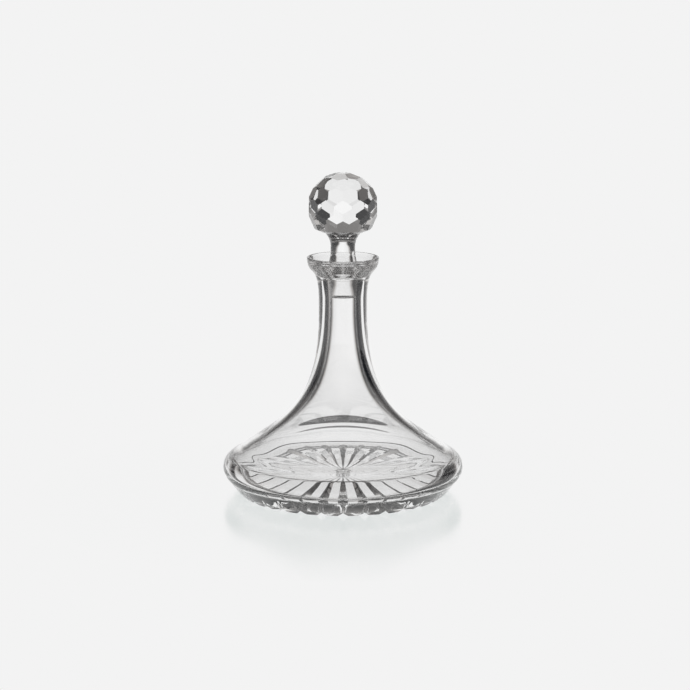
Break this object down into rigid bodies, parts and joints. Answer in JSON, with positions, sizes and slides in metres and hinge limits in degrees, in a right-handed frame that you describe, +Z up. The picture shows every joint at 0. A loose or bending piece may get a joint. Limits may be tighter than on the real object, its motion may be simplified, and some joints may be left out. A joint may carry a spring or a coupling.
{
  "type": "wine decanter",
  "caption": "Broad-based cut-crystal decanter with a slender flared neck, star-cut base and lift-out faceted ball stopper.",
  "frame": {"origin": "centre of the foot, on the surface the decanter stands on", "axes": "+Z up along the axis of the bottle, towards the stopper"},
  "size_m": [0.1891, 0.1892, 0.2512],
  "materials": {
    "crystal": "clear polished crystal"
  },
  "bodies": {
    "bottle": {"decanter_body": "crystal"},
    "stopper": {"stopper": "crystal"}
  },
  "joints": [
    {"name": "stopper_lift", "type": "slide", "parent": "bottle", "child": "stopper", "axis": [0, 0, 1], "range_m": [0, 0.06]}
  ]
}
